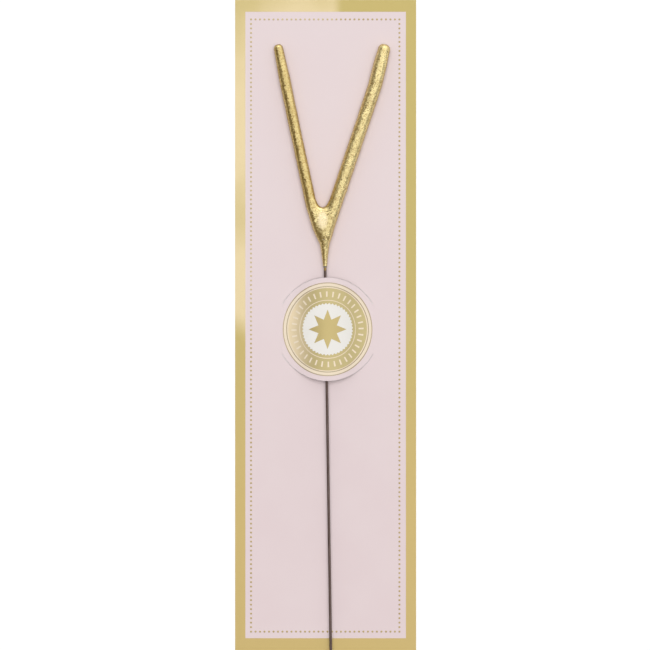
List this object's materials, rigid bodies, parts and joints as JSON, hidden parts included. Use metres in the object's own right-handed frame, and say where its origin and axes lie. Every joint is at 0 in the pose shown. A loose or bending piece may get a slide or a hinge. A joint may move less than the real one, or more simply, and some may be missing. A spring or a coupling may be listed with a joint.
{
  "type": "sparkler",
  "caption": "Forked hand sparkler with a dipped V-shaped head on a bent wire stem, held by a bowed die-cut disc on a tall foil-edged card.",
  "frame": {"origin": "centre of the card's back face", "axes": "+X to the right of the card seen from the front, +Y up the card towards the sparkler's head, +Z out of the card's front"},
  "size_m": [0.07, 0.252, 0.0059],
  "materials": {
    "card": "uncoated board, printed pale pink",
    "foil": "gold hot-stamped foil, satin",
    "wire": "drawn steel wire, dulled",
    "compound": "dry grey composition",
    "gold_lacquer": "metallic gold lacquer, fine grain"
  },
  "bodies": {
    "card": {"card_board": "card", "seal_bridge": "card", "foil_border": "foil", "seal_lines": "foil", "seal_band": "foil", "seal_star": "foil"},
    "sparkler": {"stem_wire": "wire", "branch_wire": "wire", "weld_spots": "wire", "spark_compound": "compound", "gold_coat": "gold_lacquer"}
  },
  "joints": [
    {"name": "sparkler_slide", "type": "slide", "parent": "card", "child": "sparkler", "axis": [-0.015, 0.9999, 0], "range_m": [-0.005, 0.15]}
  ]
}
